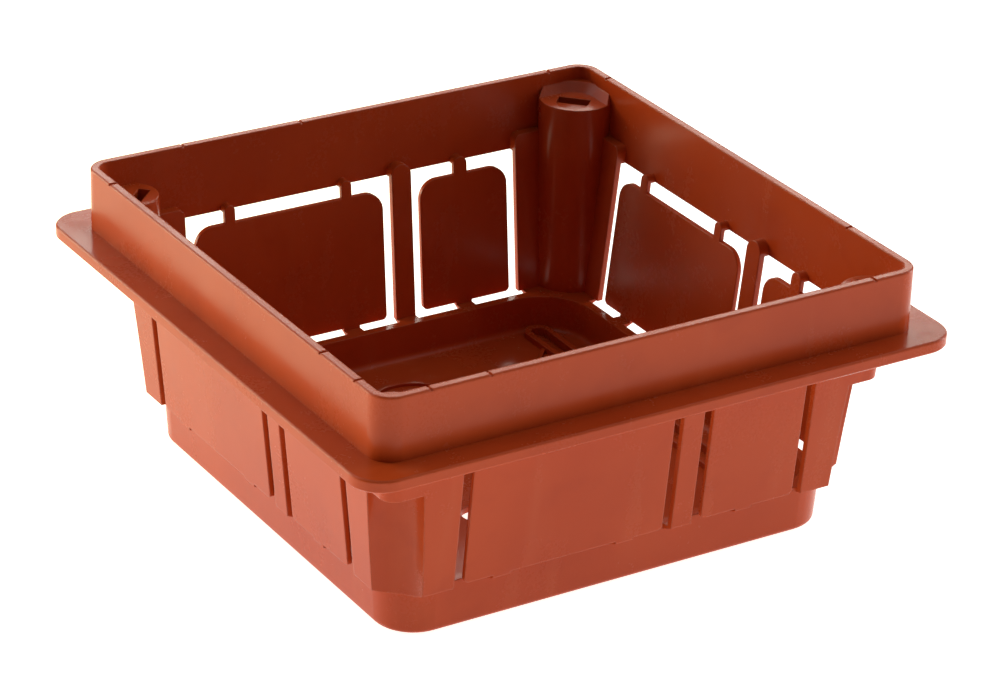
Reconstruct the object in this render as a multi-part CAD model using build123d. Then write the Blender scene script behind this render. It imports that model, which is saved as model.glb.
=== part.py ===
from build123d import *
from math import atan2, degrees, hypot, sqrt
import os

# Collar: the open square tube at the top
COLLAR_SIDE = 92.0
COLLAR_CORNER_RADIUS = 3.6
COLLAR_RIM_WALL = 1.35
COLLAR_FOOT_WALL = 2.0
BOX_DEPTH = 44.0
RIM_SOFTENING = 0.22

# Flange: the flat plate round the foot of the collar
FLANGE_OUTSET = 4.5
FLANGE_CORNER_RADIUS = 5.1
FLANGE_THICKNESS = 1.95
FLANGE_TOP_BELOW_RIM = 9.95
FLANGE_SOFTENING = 0.25

# Body: the tapered walls below the flange
BODY_INSET = 2.8
BODY_DRAFT_INSET = 2.45
BODY_CORNER_RADIUS = 3.0
BODY_LEAST_RADIUS = 0.4
BODY_WALL = 1.0

# Tray: the shallow basin under the walls, with a hollow back
TRAY_HEIGHT = 8.05
TRAY_INSET = 2.05
TRAY_DRAFT_INSET = 0.55
TRAY_CORNER_RADIUS = 6.4
TRAY_INNER_CORNER_RADIUS = 8.2
TRAY_WALL = 1.5
TRAY_OUTER_ROUND = 0.9
TRAY_INNER_ROUND = 1.0
FLOOR_THICKNESS = 1.1
BACK_HOLLOW_DEPTH = 1.1
FOOT_RIM_WIDTH = 2.6
LEDGE_THICKNESS = 1.0

# Screw slots, and the pillars round them: one large, and three slimmer ones that taper
PILLAR_INSET = 5.2
SCREW_INSET = 1.9
SCREW_SLOT_WIDTH = 1.9
SCREW_SLOT_LENGTH = 5.3
SCREW_SLOT_DEPTH = 12.0
SCREW_SLOT_WALL = 0.93
SCREW_SEAT_INSET = 0.05
SCREW_SEAT_DEPTH = 0.25
SLIM_PILLAR_DRAFT_INSET = 1.8
SLIM_PILLAR_BELOW_RIM = 4.3
LARGE_PILLAR_DRAFT_INSET = 0.35
LARGE_PILLAR_BELOW_RIM = 3.5
LARGE_PILLAR_COVE = 1.4
RECESS_WALL = 1.2
RECESS_DRAFT_INSET = 0.8
RECESS_TOP_BELOW_RIM = 18.5

# Knock-out windows, measured along each wall from its middle
CORNER_STRIP_WIDTH = 4.0
MULLION_LARGE_EDGE = 6.95
MULLION_SMALL_EDGE = 10.5
PANEL_GAP = 1.7
PANEL_THICKNESS = 0.75
PANEL_TOP_BELOW_FLANGE = 1.7
PANEL_BOTTOM_CLEARANCE = 0.4
PANEL_TOP_RADIUS = 3.2
PANEL_BOTTOM_RADIUS = 0.8
LEDGE_GAP_OVERRUN = 0.8

# Heads of the upright strips, where they run up inside the collar
MULLION_TOP_BELOW_RIM = 9.8
WING_TOP_BELOW_RIM = 9.6
TALL_WING_TOP_BELOW_RIM = 8.95
WING_TOP_ROUND = 1.2
TAB_TOP_BELOW_RIM = 10.7

# Break-off tabs that hold the knock-out panels
LARGE_TAB_OUTER_INSET = 6.3
LARGE_TAB_INNER_INSET = 6.55
SMALL_TAB_SHIFT = -0.5
TOP_TAB_WIDTH = 1.8
SMALL_TOP_TAB_WIDTH = 2.4
BOTTOM_TAB_WIDTH = 3.0

# Raised loops, ribs and rings on the floor, and the fixing holes
LOOP_INSET = 7.45
LOOP_END_INSET = 2.05
LOOP_WIDTH = 4.7
LOOP_GROOVE_WIDTH = 2.5
LOOP_HEIGHT = 1.0
LOOP_GROOVE_DEPTH = 0.5
LOOP_RIB_HEIGHT = 0.6
LOOP_RIB_OVERRUN = 0.5
LOOP_RIB_LENGTH = 8.0
LOOP_RIB_WIDTH = 0.6
RING_AXIS = 21.5
RING_RADIUS = 7.6
RING_WIDTH = 0.7
RING_HEIGHT = 0.5
FIXING_HOLE_X = 9.9
FIXING_HOLE_Y = 13.9
FIXING_HOLE_RADIUS = 2.6

# Small moulded nicks across the rim: distances from the low end (-) or high end (+) of a side
NICK_WIDTH = 0.4
NICK_DEPTH = 0.25
FRONT_NICKS = (-8.1, -17.7, 8.6)
BACK_NICKS = (-16.8, -37.7, 8.0)
LEFT_NICKS = (-7.4, -17.2, 9.2)
RIGHT_NICKS = (-17.3, 8.0)

# Derived sides
FLANGE_SIDE = COLLAR_SIDE + 2 * FLANGE_OUTSET
BODY_SIDE_TOP = COLLAR_SIDE - 2 * BODY_INSET
BODY_SIDE_BOTTOM = BODY_SIDE_TOP - 2 * BODY_DRAFT_INSET
TRAY_SIDE_TOP = BODY_SIDE_BOTTOM - 2 * TRAY_INSET
TRAY_SIDE_BOTTOM = TRAY_SIDE_TOP - 2 * TRAY_DRAFT_INSET
LOOP_AXIS = TRAY_SIDE_BOTTOM / 2 - LOOP_INSET
LOOP_LENGTH = TRAY_SIDE_BOTTOM - 2 * LOOP_END_INSET
LOOP_RIB_REACH = LOOP_AXIS - LOOP_RIB_OVERRUN

# Derived pillars: each slot corner keeps its wall, and a pillar widens down to its foot
DIAGONAL = sqrt(2)
PILLAR_AXIS = COLLAR_SIDE / 2 - PILLAR_INSET
SCREW_AXIS = PILLAR_AXIS - SCREW_INSET
SCREW_SEAT_RADIUS = SCREW_SLOT_LENGTH / 2 - SCREW_SEAT_INSET
SLOT_CORNER_REACH = hypot(SCREW_INSET * DIAGONAL, SCREW_SLOT_LENGTH / 2)
SLIM_PILLAR_RADIUS_TOP = SLOT_CORNER_REACH + SCREW_SLOT_WALL
PILLAR_RADIUS_BOTTOM = SLIM_PILLAR_RADIUS_TOP + SLIM_PILLAR_DRAFT_INSET
LARGE_PILLAR_RADIUS_TOP = PILLAR_RADIUS_BOTTOM - LARGE_PILLAR_DRAFT_INSET
RECESS_RADIUS_BOTTOM = PILLAR_RADIUS_BOTTOM - RECESS_WALL
RECESS_RADIUS_TOP = RECESS_RADIUS_BOTTOM - RECESS_DRAFT_INSET

# Derived places along a wall
FRAME_EDGE = PILLAR_AXIS - PILLAR_RADIUS_BOTTOM - CORNER_STRIP_WIDTH
LARGE_PANEL = (-FRAME_EDGE + PANEL_GAP, MULLION_LARGE_EDGE - PANEL_GAP)
SMALL_PANEL = (MULLION_SMALL_EDGE + PANEL_GAP, FRAME_EDGE - PANEL_GAP)
LARGE_TAB_CENTRES = (
    LARGE_PANEL[0] + LARGE_TAB_OUTER_INSET,
    LARGE_PANEL[1] - LARGE_TAB_INNER_INSET,
)
SMALL_TAB_CENTRE = sum(SMALL_PANEL) / 2 + SMALL_TAB_SHIFT

# Derived heights, and how far cuts reach
FLANGE_TOP = BOX_DEPTH - FLANGE_TOP_BELOW_RIM
FLANGE_BOTTOM = FLANGE_TOP - FLANGE_THICKNESS
LARGE_PILLAR_TOP = BOX_DEPTH - LARGE_PILLAR_BELOW_RIM
SLIM_PILLAR_TOP = BOX_DEPTH - SLIM_PILLAR_BELOW_RIM
RECESS_TOP = BOX_DEPTH - RECESS_TOP_BELOW_RIM
LEDGE_BOTTOM = TRAY_HEIGHT - LEDGE_THICKNESS
FLOOR_TOP = BACK_HOLLOW_DEPTH + FLOOR_THICKNESS
PANEL_TOP = FLANGE_BOTTOM - PANEL_TOP_BELOW_FLANGE
PANEL_BOTTOM = TRAY_HEIGHT + PANEL_BOTTOM_CLEARANCE
MULLION_TOP = BOX_DEPTH - MULLION_TOP_BELOW_RIM
WING_TOP = BOX_DEPTH - WING_TOP_BELOW_RIM
TALL_WING_TOP = BOX_DEPTH - TALL_WING_TOP_BELOW_RIM
TAB_TOP = BOX_DEPTH - TAB_TOP_BELOW_RIM
REACH = FLANGE_SIDE
JOIN = 0.2


def drafted_block(side_low, side_high, radius_low, z_low, z_high):
    """A square block with rounded corners whose sides lean from one size to the other."""
    draft = degrees(atan2((side_low - side_high) / 2, z_high - z_low))
    outline = RectangleRounded(side_low, side_low, radius_low)
    return Pos(0, 0, z_low) * extrude(outline, z_high - z_low, taper=draft)


def slab(x_low, x_high, y_low, y_high, z_low, z_high):
    """A plain box given by its limits."""
    centre = ((x_low + x_high) / 2, (y_low + y_high) / 2, (z_low + z_high) / 2)
    return Pos(*centre) * Box(x_high - x_low, y_high - y_low, z_high - z_low)


def turned(shape):
    """The same shape for the left and right walls, a quarter turn from front and back."""
    return Rot(0, 0, -90) * shape


def through_walls(outline):
    """An upright outline, seen from the front, pushed through the front and back walls."""
    return extrude(Plane.XZ * outline, REACH, both=True)


def body_side(z):
    """Outer width of the tapered body at height z."""
    lean = (BODY_SIDE_TOP - BODY_SIDE_BOTTOM) / (FLANGE_BOTTOM - TRAY_HEIGHT)
    return BODY_SIDE_BOTTOM + lean * (z - TRAY_HEIGHT)


def body_radius(z, inset):
    """Corner radius of the tapered body at height z, taken in by inset."""
    radius = BODY_CORNER_RADIUS - (BODY_SIDE_TOP - body_side(z)) / 2 - inset
    return max(radius, BODY_LEAST_RADIUS)


def body_block(inset, z_low, z_high):
    """The tapered body, taken in by inset on every side, between two heights."""
    return drafted_block(
        body_side(z_low) - 2 * inset,
        body_side(z_high) - 2 * inset,
        body_radius(z_low, inset),
        z_low,
        z_high,
    )


def wall_skin(thickness, z_low, z_high):
    """The outer skin of the tapered body, a given thickness deep."""
    return body_block(0, z_low, z_high) - body_block(thickness, z_low, z_high)


def collar_block():
    """Outside of the collar with its softened rim."""
    outline = RectangleRounded(COLLAR_SIDE, COLLAR_SIDE, COLLAR_CORNER_RADIUS)
    block = Pos(0, 0, FLANGE_BOTTOM) * extrude(outline, BOX_DEPTH - FLANGE_BOTTOM)
    return chamfer(block.edges().group_by(Axis.Z)[-1], RIM_SOFTENING)


def flange_block():
    """The flat plate with softened edges."""
    outline = RectangleRounded(FLANGE_SIDE, FLANGE_SIDE, FLANGE_CORNER_RADIUS)
    plate = Pos(0, 0, FLANGE_BOTTOM) * extrude(outline, FLANGE_THICKNESS)
    soft = plate.edges().group_by(Axis.Z)[-1] + plate.edges().group_by(Axis.Z)[0]
    return chamfer(soft, FLANGE_SOFTENING)


def tray_block():
    """Outside of the tray, rounded at the bottom edge."""
    block = drafted_block(TRAY_SIDE_BOTTOM, TRAY_SIDE_TOP, TRAY_CORNER_RADIUS, 0, TRAY_HEIGHT)
    return fillet(block.edges().group_by(Axis.Z)[0], TRAY_OUTER_ROUND)


def ledge_block():
    """The flared step that joins the foot of the walls to the edge of the tray."""
    inner = TRAY_SIDE_TOP - 2 * JOIN
    low = RectangleRounded(inner, inner, TRAY_CORNER_RADIUS)
    high = RectangleRounded(BODY_SIDE_BOTTOM, BODY_SIDE_BOTTOM, body_radius(TRAY_HEIGHT, 0))
    return loft([Pos(0, 0, LEDGE_BOTTOM) * low, Pos(0, 0, TRAY_HEIGHT) * high])


def collar_cavity(grow):
    """Inside of the collar, which narrows towards its foot, grown by a small amount."""
    return drafted_block(
        COLLAR_SIDE - 2 * COLLAR_FOOT_WALL + 2 * grow,
        COLLAR_SIDE - 2 * COLLAR_RIM_WALL + 2 * grow,
        COLLAR_CORNER_RADIUS - COLLAR_FOOT_WALL + grow,
        FLANGE_BOTTOM,
        BOX_DEPTH + JOIN,
    )


def tray_cavity():
    """Inside of the tray, rounded where the floor meets the wall."""
    block = drafted_block(
        TRAY_SIDE_BOTTOM - 2 * TRAY_WALL,
        TRAY_SIDE_TOP - 2 * TRAY_WALL,
        TRAY_INNER_CORNER_RADIUS,
        FLOOR_TOP,
        TRAY_HEIGHT + JOIN,
    )
    return fillet(block.edges().group_by(Axis.Z)[0], TRAY_INNER_ROUND)


def back_hollow():
    """The shallow hollow under the floor, inside the foot rim."""
    side = TRAY_SIDE_BOTTOM - 2 * FOOT_RIM_WIDTH
    radius = TRAY_CORNER_RADIUS - FOOT_RIM_WIDTH / 2
    return extrude(RectangleRounded(side, side, radius), BACK_HOLLOW_DEPTH)


def corner_places(turns):
    """Places of the given corners, each turned so that its x points out to the corner."""
    return [Rot(0, 0, 45 + 90 * turn) for turn in turns]


def corner_cone(radius_low, radius_high, z_low, z_high):
    """A cone on a corner axis, still lying on the x axis."""
    cone = Cone(
        radius_low,
        radius_high,
        z_high - z_low,
        align=(Align.CENTER, Align.CENTER, Align.MIN),
    )
    return Pos(PILLAR_AXIS * DIAGONAL, 0, z_low) * cone


def pillars():
    """The four screw pillars, solid at the top."""
    large = corner_cone(
        PILLAR_RADIUS_BOTTOM,
        LARGE_PILLAR_RADIUS_TOP,
        TRAY_HEIGHT,
        LARGE_PILLAR_TOP,
    )
    slim = corner_cone(
        PILLAR_RADIUS_BOTTOM,
        SLIM_PILLAR_RADIUS_TOP,
        TRAY_HEIGHT,
        SLIM_PILLAR_TOP,
    )
    found = [place * large for place in corner_places([0])]
    return found + [place * slim for place in corner_places([1, 2, 3])]


def pillar_cove():
    """The slanting web that joins the top of the large pillar to the inside of the collar."""
    high = LARGE_PILLAR_TOP + LARGE_PILLAR_COVE
    side = COLLAR_SIDE - 2 * COLLAR_RIM_WALL
    slope = drafted_block(
        side - 2 * LARGE_PILLAR_COVE,
        side,
        COLLAR_CORNER_RADIUS,
        LARGE_PILLAR_TOP,
        high,
    )
    post = corner_cone(
        LARGE_PILLAR_RADIUS_TOP,
        LARGE_PILLAR_RADIUS_TOP - LARGE_PILLAR_COVE / 2,
        LARGE_PILLAR_TOP - JOIN,
        high,
    )
    web = corner_places([0])[0] * post
    return (web & collar_cavity(JOIN)) - slope


def pillar_recesses():
    """Hollows that run up the outside of each corner, open at the bottom."""
    core = corner_cone(RECESS_RADIUS_BOTTOM, RECESS_RADIUS_TOP, TRAY_HEIGHT, RECESS_TOP)
    foot = Pos(PILLAR_AXIS * DIAGONAL, 0, TRAY_HEIGHT / 2) * Cylinder(
        RECESS_RADIUS_BOTTOM,
        TRAY_HEIGHT + 2 * JOIN,
    )
    return [place * (core + foot) for place in corner_places(range(4))]


def screw_slot(pillar_top):
    """The deep slot that a self-tapping screw bites into, across the corner's diagonal."""
    near = SCREW_AXIS * DIAGONAL
    return slab(
        near,
        near + SCREW_SLOT_WIDTH,
        -SCREW_SLOT_LENGTH / 2,
        SCREW_SLOT_LENGTH / 2,
        pillar_top - SCREW_SLOT_DEPTH,
        BOX_DEPTH + JOIN,
    )


def screw_seat(pillar_top):
    """The shallow half-round step on the inner side of a slot."""
    near = SCREW_AXIS * DIAGONAL
    low = pillar_top - SCREW_SEAT_DEPTH
    disc = Pos(near, 0, low) * Cylinder(
        SCREW_SEAT_RADIUS,
        BOX_DEPTH,
        align=(Align.CENTER, Align.CENTER, Align.MIN),
    )
    return disc & slab(0, near + JOIN, -REACH, REACH, low, BOX_DEPTH + JOIN)


def screw_holes():
    """The screw openings of all four pillars, with a seat on the large one."""
    large = screw_slot(LARGE_PILLAR_TOP) + screw_seat(LARGE_PILLAR_TOP)
    slim = screw_slot(SLIM_PILLAR_TOP)
    found = [place * large for place in corner_places([0])]
    return found + [place * slim for place in corner_places([1, 2, 3])]


def window_cut(low, high, low_overrun, high_overrun):
    """One window cut through the front and back walls and the step below them."""
    wall = slab(low, high, -REACH, REACH, TRAY_HEIGHT, FLANGE_BOTTOM)
    step = slab(
        low - low_overrun,
        high + high_overrun,
        -REACH,
        REACH,
        LEDGE_BOTTOM - JOIN,
        TRAY_HEIGHT,
    )
    return wall + step


def window_cuts():
    """Windows of the front and back walls."""
    large = window_cut(-FRAME_EDGE, MULLION_LARGE_EDGE, LEDGE_GAP_OVERRUN, 0)
    small = window_cut(MULLION_SMALL_EDGE, FRAME_EDGE, 0, LEDGE_GAP_OVERRUN)
    return [large, small]


def panel_outline(low, high):
    """Upright outline of one knock-out panel, with large upper corners."""
    middle = (PANEL_TOP + PANEL_BOTTOM) / 2
    outline = Pos((low + high) / 2, middle) * Rectangle(high - low, PANEL_TOP - PANEL_BOTTOM)
    outline = fillet(outline.vertices().group_by(Axis.Y)[-1], PANEL_TOP_RADIUS)
    return fillet(outline.vertices().group_by(Axis.Y)[0], PANEL_BOTTOM_RADIUS)


def panels():
    """Knock-out panels of the front and back walls, flush with the outer face."""
    skin = wall_skin(PANEL_THICKNESS, TRAY_HEIGHT, FLANGE_BOTTOM)
    large = skin & through_walls(panel_outline(*LARGE_PANEL))
    return large + (skin & through_walls(panel_outline(*SMALL_PANEL)))


def crown_space(thickness):
    """The space between the plane of the front and back walls and the inside of the collar."""
    inner = body_block(thickness, FLANGE_BOTTOM - JOIN, TALL_WING_TOP + JOIN)
    near = FRAME_EDGE + WING_TOP_ROUND
    middle = slab(-REACH, REACH, -near, near, 0, BOX_DEPTH + 2 * JOIN)
    return collar_cavity(JOIN) - inner - middle


def arch_outline(centre, width, top):
    """A strip with a round head, from the flange up to a given height."""
    springing = top - width / 2
    foot = FLANGE_BOTTOM - JOIN
    strip = Pos(centre, (foot + springing) / 2) * Rectangle(width, springing - foot)
    return strip + Pos(centre, springing) * Circle(width / 2)


def wing_outline(side, top):
    """The corner strip's head, with a rounded shoulder beside the window."""
    foot = FLANGE_BOTTOM - JOIN
    width = REACH / 2 - FRAME_EDGE
    centre = side * (FRAME_EDGE + width / 2)
    outline = Pos(centre, (foot + top) / 2) * Rectangle(width, top - foot)
    shoulder = outline.vertices().group_by(Axis.Y)[-1].sort_by(Axis.X)
    return fillet(shoulder[0 if side > 0 else -1], WING_TOP_ROUND)


def crowns():
    """Heads of the mullion and corner strips that run up inside the collar."""
    centre = (MULLION_LARGE_EDGE + MULLION_SMALL_EDGE) / 2
    width = MULLION_SMALL_EDGE - MULLION_LARGE_EDGE
    outline = arch_outline(centre, width, MULLION_TOP)
    outline += wing_outline(1, WING_TOP)
    outline += wing_outline(-1, WING_TOP)
    return through_walls(outline) & crown_space(BODY_WALL)


def tall_wings():
    """The two higher strips, one each side of the large pillar."""
    back = slab(-REACH, REACH, 0, REACH, 0, BOX_DEPTH)
    space = crown_space(BODY_WALL) & back
    right = space & through_walls(wing_outline(1, TALL_WING_TOP))
    left = space & through_walls(wing_outline(-1, TALL_WING_TOP))
    return [right, turned(left)]


def top_tab(centre, width):
    """Break-off tab from the collar down to the head of a panel, front and back."""
    strip = slab(
        centre - width / 2,
        centre + width / 2,
        -REACH,
        REACH,
        PANEL_TOP - JOIN,
        FLANGE_BOTTOM,
    )
    lower = strip & wall_skin(PANEL_THICKNESS, PANEL_TOP - JOIN, FLANGE_BOTTOM)
    head = through_walls(arch_outline(centre, width, TAB_TOP))
    return lower + (head & crown_space(PANEL_THICKNESS))


def bottom_tab(centre, width):
    """Break-off tab from the foot of a panel to the edge of the tray, front and back."""
    strip = slab(
        centre - width / 2,
        centre + width / 2,
        -REACH,
        REACH,
        LEDGE_BOTTOM,
        PANEL_BOTTOM + JOIN,
    )
    upper = wall_skin(PANEL_THICKNESS, TRAY_HEIGHT, PANEL_BOTTOM + JOIN)
    return strip & (ledge_block() + upper)


def tabs():
    """All break-off tabs of the front and back walls."""
    found = [top_tab(centre, TOP_TAB_WIDTH) for centre in LARGE_TAB_CENTRES]
    found.append(top_tab(SMALL_TAB_CENTRE, SMALL_TOP_TAB_WIDTH))
    found += [bottom_tab(centre, BOTTOM_TAB_WIDTH) for centre in LARGE_TAB_CENTRES]
    found.append(bottom_tab(SMALL_TAB_CENTRE, BOTTOM_TAB_WIDTH))
    return found


def on_floor(outline, height):
    """A flat outline raised from the floor."""
    return Pos(0, 0, FLOOR_TOP - JOIN) * extrude(outline, height + JOIN)


def mirrored_pairs(x, y):
    """The four places that mirror one place across both middle lines."""
    return [(x, y), (-x, y), (-x, -y), (x, -y)]


def floor_relief():
    """Long raised loops, short slanting ribs and round rings on the floor."""
    loop = Rot(0, 0, 90) * SlotOverall(LOOP_LENGTH, LOOP_WIDTH)
    ring = Circle(RING_RADIUS) - Circle(RING_RADIUS - RING_WIDTH)
    found = [on_floor(Pos(x, 0) * loop, LOOP_HEIGHT) for x in (LOOP_AXIS, -LOOP_AXIS)]
    found += [on_floor(Pos(0, y) * ring, RING_HEIGHT) for y in (RING_AXIS, -RING_AXIS)]
    middle = LOOP_RIB_REACH - LOOP_RIB_LENGTH / 2 / DIAGONAL
    for x, y in mirrored_pairs(middle, middle):
        slant = 45 if x * y > 0 else -45
        rib = Pos(x, y) * Rot(0, 0, slant) * Rectangle(LOOP_RIB_LENGTH, LOOP_RIB_WIDTH)
        found.append(on_floor(rib, LOOP_RIB_HEIGHT))
    return found


def relief_space():
    """Space that the floor's relief may fill, just inside the tray's wall."""
    side = TRAY_SIDE_BOTTOM - TRAY_WALL
    outline = RectangleRounded(side, side, TRAY_INNER_CORNER_RADIUS)
    return Pos(0, 0, BACK_HOLLOW_DEPTH) * extrude(outline, TRAY_HEIGHT)


def loop_grooves():
    """The sunk middle of the raised loops."""
    length = LOOP_LENGTH - (LOOP_WIDTH - LOOP_GROOVE_WIDTH)
    groove = Rot(0, 0, 90) * SlotOverall(length, LOOP_GROOVE_WIDTH)
    cut = extrude(groove, LOOP_GROOVE_DEPTH + LOOP_HEIGHT + JOIN)
    sunk = FLOOR_TOP - LOOP_GROOVE_DEPTH
    return [Pos(x, 0, sunk) * cut for x in (LOOP_AXIS, -LOOP_AXIS)]


def fixing_holes():
    """Round holes through the floor for fixing to the wall."""
    drill = Cylinder(FIXING_HOLE_RADIUS, 2 * TRAY_HEIGHT)
    places = [(-FIXING_HOLE_X, -FIXING_HOLE_Y), (FIXING_HOLE_X, FIXING_HOLE_Y)]
    return [Pos(x, y, 0) * drill for x, y in places]


def nick_place(distance):
    """Place along a side from a distance to its low end (negative) or high end (positive)."""
    half = COLLAR_SIDE / 2
    return half - distance if distance > 0 else -half - distance


def rim_nicks():
    """Small marks across the rim."""
    near = -COLLAR_SIDE / 2 - JOIN
    far = near + COLLAR_RIM_WALL + 2 * JOIN
    low = BOX_DEPTH - NICK_DEPTH
    nick = slab(-NICK_WIDTH / 2, NICK_WIDTH / 2, near, far, low, BOX_DEPTH + JOIN)
    found = [Pos(nick_place(d), 0, 0) * nick for d in FRONT_NICKS]
    found += [Rot(0, 0, 180) * Pos(-nick_place(d), 0, 0) * nick for d in BACK_NICKS]
    found += [Rot(0, 0, -90) * Pos(-nick_place(d), 0, 0) * nick for d in LEFT_NICKS]
    found += [Rot(0, 0, 90) * Pos(nick_place(d), 0, 0) * nick for d in RIGHT_NICKS]
    return found


def walled_part():
    """Collar, flange, walls, pillars and step, before the tray is added."""
    body = body_block(0, TRAY_HEIGHT, FLANGE_BOTTOM + JOIN)
    outer = collar_block() + flange_block() + body + ledge_block()
    hollow = collar_cavity(0) + body_block(BODY_WALL, TRAY_HEIGHT, FLANGE_BOTTOM + JOIN)
    shell = outer - hollow
    shell = shell + [post & outer for post in pillars()]
    heads = crowns()
    shell = shell + [heads, turned(heads), pillar_cove()] + tall_wings()
    shell = shell - pillar_recesses() - screw_holes()
    cuts = window_cuts()
    shell = shell - cuts - [turned(cut) for cut in cuts]
    fills = [panels()] + tabs()
    return shell + fills + [turned(fill) for fill in fills]


def moulding():
    """The whole one-piece box."""
    cavity = tray_cavity()
    base = tray_block() - back_hollow() - cavity
    base = base + [relief & relief_space() for relief in floor_relief()]
    whole = (walled_part() - cavity) + base
    return whole - loop_grooves() - fixing_holes() - rim_nicks()


os.makedirs("parts", exist_ok=True)
export_step(moulding(), "parts/junction_box.step")
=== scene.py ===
from math import cos, radians, sin

import bpy
from mathutils import Matrix, Vector


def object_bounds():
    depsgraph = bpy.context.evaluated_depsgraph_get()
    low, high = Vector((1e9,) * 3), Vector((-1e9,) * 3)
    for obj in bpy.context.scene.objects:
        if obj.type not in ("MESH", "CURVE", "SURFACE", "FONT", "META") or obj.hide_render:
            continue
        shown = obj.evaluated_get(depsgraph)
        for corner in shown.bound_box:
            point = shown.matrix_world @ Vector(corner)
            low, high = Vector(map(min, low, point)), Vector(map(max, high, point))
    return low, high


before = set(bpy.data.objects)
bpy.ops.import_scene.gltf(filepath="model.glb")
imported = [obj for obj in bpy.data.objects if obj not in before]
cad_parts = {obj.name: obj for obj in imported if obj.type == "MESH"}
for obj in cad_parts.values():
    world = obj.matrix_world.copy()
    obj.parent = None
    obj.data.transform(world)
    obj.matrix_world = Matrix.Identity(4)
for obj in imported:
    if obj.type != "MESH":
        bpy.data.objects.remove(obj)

CAD_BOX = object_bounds()
SCENE = bpy.context.scene
MM = 0.001

# Camera at the photograph's viewing angle, in millimetres and degrees
CAMERA_PLACE = Vector((-281.57, -448.65, 280.66)) * MM
CAMERA_AZIMUTH = -32.286
CAMERA_ELEVATION = 26.056
CAMERA_ROLL = 1.89
CAMERA_LENS = 138.87
CAMERA_CLIP = (0.01, 20.0)
SENSOR_WIDTH = 36.0

# Brightness of the surroundings by heading, in degrees from +X, low down and higher up. The
# bands are told apart by the upward part of the direction.
LOW_GLOW = {0: 0.4, 135: 0.8, 270: 0.05, 315: 0.7}
HIGH_GLOW = {0: 1.3, 45: 0.9, 90: 1.2, 135: 1.7, 315: 0.35}
OVERHEAD_GLOW = 0.6
LOW_BAND_ENDS = (0.342, 0.643)
OVERHEAD_BEGINS = (0.766, 0.940)

# Light colours
WHITE = (1.0, 1.0, 1.0)
PALE = (1.0, 0.96, 0.85)
WARM = (1.0, 0.96, 0.66)

# Soft boxes: a large one low on the left, a small one on the right to fill, and a long strip
# behind that lights up level faces
SOFT_BOXES = {
    "left_box": dict(
        towards=128.0, elevation=12.0, distance=1.1, size=(0.6, 0.5), watts=7.8, tint=WARM
    ),
    "right_box": dict(
        towards=350.0, elevation=12.0, distance=1.1, size=(0.3, 0.5), watts=4.6, tint=WHITE
    ),
    "back_strip": dict(
        towards=57.7, elevation=26.0, distance=1.2, size=(1.2, 0.15), watts=3.8, tint=PALE
    ),
}

# Floor: pale and matt, just under the object, with a glow that rises towards the left
FLOOR_HALF = 3.0
FLOOR_DROP = 0.02 * MM
FLOOR_COLOUR = (0.75, 0.75, 0.75, 1)
FLOOR_ROUGHNESS = 0.9
FLOOR_SPECULAR = 0.1
FLOOR_GLOW = 0.97
FLOOR_GLOW_LEFT = 1.35
FLOOR_GLOW_REACH = (0.0, 0.11)
FLOOR_GLOW_TINT = (1.0, 0.98, 0.92, 1)
FLOOR_GLOW_TINT_LEFT = (1.0, 1.0, 0.60, 1)
GLOW_TOWARDS = 125.0

# Plastic tones, as linear colours
BRICK = (0.405, 0.0470, 0.0080, 1)
ORANGE = (0.445, 0.0570, 0.0105, 1)
DEEP = (0.330, 0.0345, 0.0060, 1)
CHALKY = (0.500, 0.1050, 0.0400, 1)
# Pale tone painted on the edges as a highlight
EDGE_HIGHLIGHT_PAINT = (0.560, 0.1450, 0.0650, 1)
PLASTIC_IOR = 1.29

# Layers of noise in the plastic. Their blobs are about size millimetres across, and shift
# keeps one layer from repeating another. Flow marks and drawn lines run down the walls.
LAYERS = {
    "clouds": dict(size=26.0),
    "patches": dict(size=9.0, detail=3.0, roughness=0.6, shift=11.0),
    "flow": dict(size=5.0, stretch=(1, 1, 0.12), shift=23.0),
    "specks": dict(size=0.55, roughness=0.7, shift=5.0),
    # Noise that breaks up the painted edge highlight
    "edge_highlight_breakup": dict(size=3.0, detail=3.0, shift=31.0),
    "smears": dict(size=13.0, detail=4.0, roughness=0.6, shift=41.0),
    "sinks": dict(size=14.0, detail=1.0, shift=53.0),
    "drawn_lines": dict(size=0.8, stretch=(1, 1, 0.06), shift=61.0),
    "grain": dict(size=0.24, roughness=0.6, shift=71.0),
}
SHIFT_TOWARDS = (1.0, 1.7, -0.6)

# Tones over the brick: layer, noise where the tone starts, noise where it is full, share, colour
TONES = [
    ("clouds", 0.32, 0.68, 1.0, ORANGE),
    ("patches", 0.5, 0.8, 0.35, DEEP),
    ("flow", 0.55, 0.85, 0.25, CHALKY),
    ("specks", 0.60, 0.8, 0.07, CHALKY),
    ("specks", 0.38, 0.22, 0.10, DEEP),
]

# Roughness, added up: layer, two values of its noise, and the roughness at each
ROUGHNESS = [
    ("smears", 0.3, 0.7, 0.20, 0.28),
    ("flow", 0.5, 0.8, 0.0, 0.05),
    ("specks", 0.3, 0.7, -0.015, 0.015),
]

# Relief, from coarse to fine: layer and depth in millimetres
RELIEF = [
    ("sinks", 0.05),
    ("drawn_lines", 0.006),
    ("grain", 0.006),
]

# Edges: rounded by the mould, and painted paler as a highlight where they turn, broken up by
# noise, but not where two faces meet in a hollow
EDGE_RADIUS = 0.35 * MM
EDGE_SAMPLES = 6
EDGE_TURN = (0.02, 0.22)
EDGE_SHARE = 0.50
EDGE_HIGHLIGHT_BREAKUP = (0.3, 0.7, 0.35, 1.0)
HOLLOW_REACH = 1.0 * MM
HOLLOW_ENDS = (0.72, 0.92)


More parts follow.
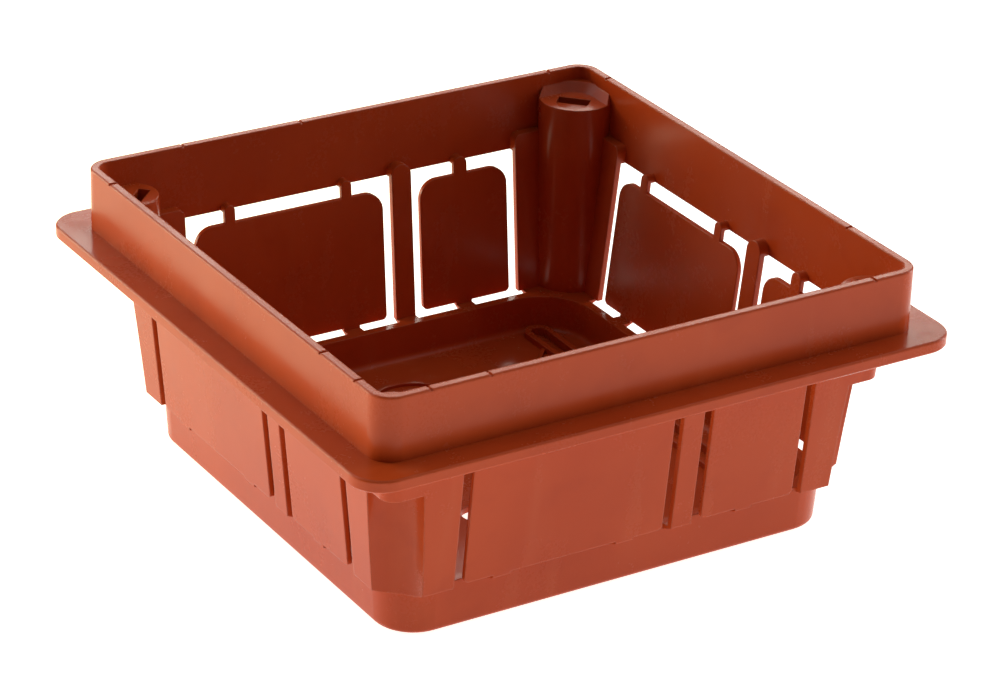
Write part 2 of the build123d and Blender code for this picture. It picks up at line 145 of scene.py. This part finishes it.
class Nodes:
    """Short calls for making shader nodes and joining them."""

    def __init__(self, tree):
        self.tree = tree

    def new(self, kind, inputs=None, **settings):
        node = self.tree.nodes.new(kind)
        for name, value in settings.items():
            setattr(node, name, value)
        for name, value in (inputs or {}).items():
            self.feed(node.inputs[name], value)
        return node

    def feed(self, socket, value):
        """Join another node's output to a socket, or set the socket's own value."""
        if isinstance(value, bpy.types.NodeSocket):
            self.tree.links.new(value, socket)
        else:
            socket.default_value = value

    def math(self, operation, a, b):
        node = self.new("ShaderNodeMath", operation=operation)
        self.feed(node.inputs[0], a)
        self.feed(node.inputs[1], b)
        return node.outputs[0]

    def vector_math(self, operation, a, b=(0, 0, 0)):
        node = self.new("ShaderNodeVectorMath", operation=operation)
        self.feed(node.inputs[0], a)
        self.feed(node.inputs[1], b)
        return node.outputs["Value" if operation == "DOT_PRODUCT" else "Vector"]

    def noise(self, place, size, detail=2.0, roughness=0.5, stretch=(1, 1, 1), shift=0.0):
        """Noise round 0.5 whose blobs are about size across, in the units of place."""
        scaled = self.vector_math("MULTIPLY", place, tuple(s / size for s in stretch))
        moved = self.vector_math("ADD", scaled, tuple(shift * part for part in SHIFT_TOWARDS))
        node = self.new(
            "ShaderNodeTexNoise",
            {"Vector": moved, "Scale": 1.0, "Detail": detail, "Roughness": roughness},
        )
        return node.outputs["Fac"]

    def remap(self, value, low, high, to_low=0.0, to_high=1.0):
        """Value between low and high, spread smoothly over to_low to to_high."""
        node = self.new(
            "ShaderNodeMapRange",
            {
                "Value": value,
                "From Min": low,
                "From Max": high,
                "To Min": to_low,
                "To Max": to_high,
            },
            interpolation_type="SMOOTHSTEP",
        )
        return node.outputs["Result"]

    def mix(self, share, a, b):
        """Colour or direction that goes from a to b as share goes from 0 to 1."""
        node = self.new("ShaderNodeMix", data_type="RGBA")
        self.feed(node.inputs["Factor"], share)
        self.feed(node.inputs["A"], a)
        self.feed(node.inputs["B"], b)
        return node.outputs["Result"]

    def bump(self, height, depth, normal):
        """Relief of depth millimetres from a height of 0 to 1."""
        node = self.new(
            "ShaderNodeBump",
            {"Height": height, "Strength": 1.0, "Distance": depth * MM, "Normal": normal},
        )
        return node.outputs["Normal"]


def heading(degrees_from_x):
    """A level direction."""
    return (cos(radians(degrees_from_x)), sin(radians(degrees_from_x)), 0)


def terracotta_plastic():
    """Satin brick-red moulded plastic, with flow marks, grain and a painted highlight that makes
    the edges paler.
    """
    material = bpy.data.materials.new("terracotta_plastic")
    material.use_nodes = True
    tree = material.node_tree
    tree.nodes.clear()
    n = Nodes(tree)

    metres = n.new("ShaderNodeTexCoord").outputs["Object"]
    place = n.vector_math("MULTIPLY", metres, (1 / MM, 1 / MM, 1 / MM))
    layers = {name: n.noise(place, **settings) for name, settings in LAYERS.items()}

    colour = BRICK
    for layer, start, full, share, tone in TONES:
        colour = n.mix(n.remap(layers[layer], start, full, 0.0, share), colour, tone)

    rough = 0.0
    for layer, low, high, at_low, at_high in ROUGHNESS:
        rough = n.math("ADD", rough, n.remap(layers[layer], low, high, at_low, at_high))

    flat = n.new("ShaderNodeNewGeometry").outputs["Normal"]
    bevel = n.new("ShaderNodeBevel", {"Radius": EDGE_RADIUS}, samples=EDGE_SAMPLES)
    hollow = n.new(
        "ShaderNodeAmbientOcclusion", {"Distance": HOLLOW_REACH}, samples=EDGE_SAMPLES
    )
    outward = n.remap(hollow.outputs["AO"], *HOLLOW_ENDS)
    rounded = n.mix(outward, flat, bevel.outputs["Normal"])
    # Painted highlight: edges are made paler in colour where the rounded normal turns away from
    # the flat one
    turn = n.math("SUBTRACT", 1.0, n.vector_math("DOT_PRODUCT", rounded, flat))
    painted_edge_highlight = n.math("MULTIPLY", n.remap(turn, *EDGE_TURN), n.remap(layers["edge_highlight_breakup"], *EDGE_HIGHLIGHT_BREAKUP))
    colour = n.mix(n.math("MULTIPLY", painted_edge_highlight, EDGE_SHARE), colour, EDGE_HIGHLIGHT_PAINT)

    normal = rounded
    for layer, depth in RELIEF:
        normal = n.bump(layers[layer], depth, normal)

    surface = n.new(
        "ShaderNodeBsdfPrincipled",
        {"Base Color": colour, "Roughness": rough, "IOR": PLASTIC_IOR, "Normal": normal},
    )
    output = n.new("ShaderNodeOutputMaterial")
    tree.links.new(surface.outputs["BSDF"], output.inputs["Surface"])
    return material


def pale_floor():
    """A wide, plain, pale floor that glows, more so on the left."""
    half = FLOOR_HALF
    mesh = bpy.data.meshes.new("floor")
    corners = [(-half, -half, 0), (half, -half, 0), (half, half, 0), (-half, half, 0)]
    mesh.from_pydata(corners, [], [(0, 1, 2, 3)])
    floor = bpy.data.objects.new("floor", mesh)
    floor.location.z = CAD_BOX[0][2] - FLOOR_DROP
    SCENE.collection.objects.link(floor)

    material = bpy.data.materials.new("pale_floor")
    material.use_nodes = True
    n = Nodes(material.node_tree)
    shader = material.node_tree.nodes["Principled BSDF"]
    shader.inputs["Base Color"].default_value = FLOOR_COLOUR
    shader.inputs["Roughness"].default_value = FLOOR_ROUGHNESS
    shader.inputs["Specular IOR Level"].default_value = FLOOR_SPECULAR
    place = n.new("ShaderNodeNewGeometry").outputs["Position"]
    leftward = n.vector_math("DOT_PRODUCT", place, heading(GLOW_TOWARDS))
    share = n.remap(leftward, *FLOOR_GLOW_REACH)
    glow = n.remap(leftward, *FLOOR_GLOW_REACH, FLOOR_GLOW, FLOOR_GLOW_LEFT)
    n.feed(shader.inputs["Emission Color"], n.mix(share, FLOOR_GLOW_TINT, FLOOR_GLOW_TINT_LEFT))
    n.feed(shader.inputs["Emission Strength"], glow)
    mesh.materials.append(material)


def soft_box(name, towards, elevation, distance, size, watts, tint):
    """A rectangular soft light that faces the object, at a heading and elevation in degrees."""
    lamp = bpy.data.lights.new(name, "AREA")
    lamp.shape = "RECTANGLE"
    lamp.size, lamp.size_y = size
    lamp.energy = watts
    lamp.color = tint
    light = bpy.data.objects.new(name, lamp)
    level = Vector(heading(towards)) * cos(radians(elevation))
    outward = level + Vector((0, 0, sin(radians(elevation))))
    light.location = outward * distance
    light.rotation_euler = outward.to_track_quat("Z", "Y").to_euler()
    SCENE.collection.objects.link(light)


def sky_lobe(n, level, towards):
    """A share that is 1 at a heading and fades to nothing 45 degrees to each side."""
    facing = n.math("MAXIMUM", n.vector_math("DOT_PRODUCT", level, heading(towards)), 0.0)
    double = n.math("SUBTRACT", n.math("MULTIPLY", n.math("MULTIPLY", facing, facing), 2.0), 1.0)
    kept = n.math("MAXIMUM", double, 0.0)
    return n.math("MULTIPLY", kept, kept)


def surroundings():
    """A pale studio round the object, dim in front and brighter behind and on the left."""
    world = bpy.data.worlds.new("studio")
    world.use_nodes = True
    n = Nodes(world.node_tree)
    direction = n.new("ShaderNodeTexCoord").outputs["Generated"]
    height = n.vector_math("DOT_PRODUCT", direction, (0, 0, 1))
    low = n.remap(height, *LOW_BAND_ENDS, 1.0, 0.0)
    overhead = n.remap(height, *OVERHEAD_BEGINS)
    high = n.math("SUBTRACT", n.math("SUBTRACT", 1.0, low), overhead)
    level = n.vector_math("NORMALIZE", n.vector_math("MULTIPLY", direction, (1, 1, 0)))
    total = n.math("MULTIPLY", overhead, OVERHEAD_GLOW)
    for band, glows in ((low, LOW_GLOW), (high, HIGH_GLOW)):
        for towards, strength in glows.items():
            lobe = n.math("MULTIPLY", sky_lobe(n, level, towards), band)
            total = n.math("ADD", total, n.math("MULTIPLY", lobe, strength))
    background = world.node_tree.nodes["Background"]
    background.inputs["Color"].default_value = (*WHITE, 1)
    n.feed(background.inputs["Strength"], total)
    SCENE.world = world
    SCENE.view_settings.view_transform = "Standard"


def camera():
    """The photograph's viewpoint."""
    lens = bpy.data.cameras.new("camera")
    lens.sensor_fit = "HORIZONTAL"
    lens.sensor_width = SENSOR_WIDTH
    lens.lens = CAMERA_LENS
    lens.clip_start, lens.clip_end = CAMERA_CLIP
    eye = bpy.data.objects.new("camera", lens)
    turn = Matrix.Rotation(radians(CAMERA_AZIMUTH), 4, "Z")
    tilt = Matrix.Rotation(radians(90 - CAMERA_ELEVATION), 4, "X")
    roll = Matrix.Rotation(radians(CAMERA_ROLL), 4, "Z")
    eye.matrix_world = Matrix.Translation(CAMERA_PLACE) @ turn @ tilt @ roll
    SCENE.collection.objects.link(eye)
    SCENE.camera = eye


camera()
surroundings()
for name, settings in SOFT_BOXES.items():
    soft_box(name, **settings)
pale_floor()
plastic = terracotta_plastic()
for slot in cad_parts["junction_box"].material_slots:
    slot.material = plastic
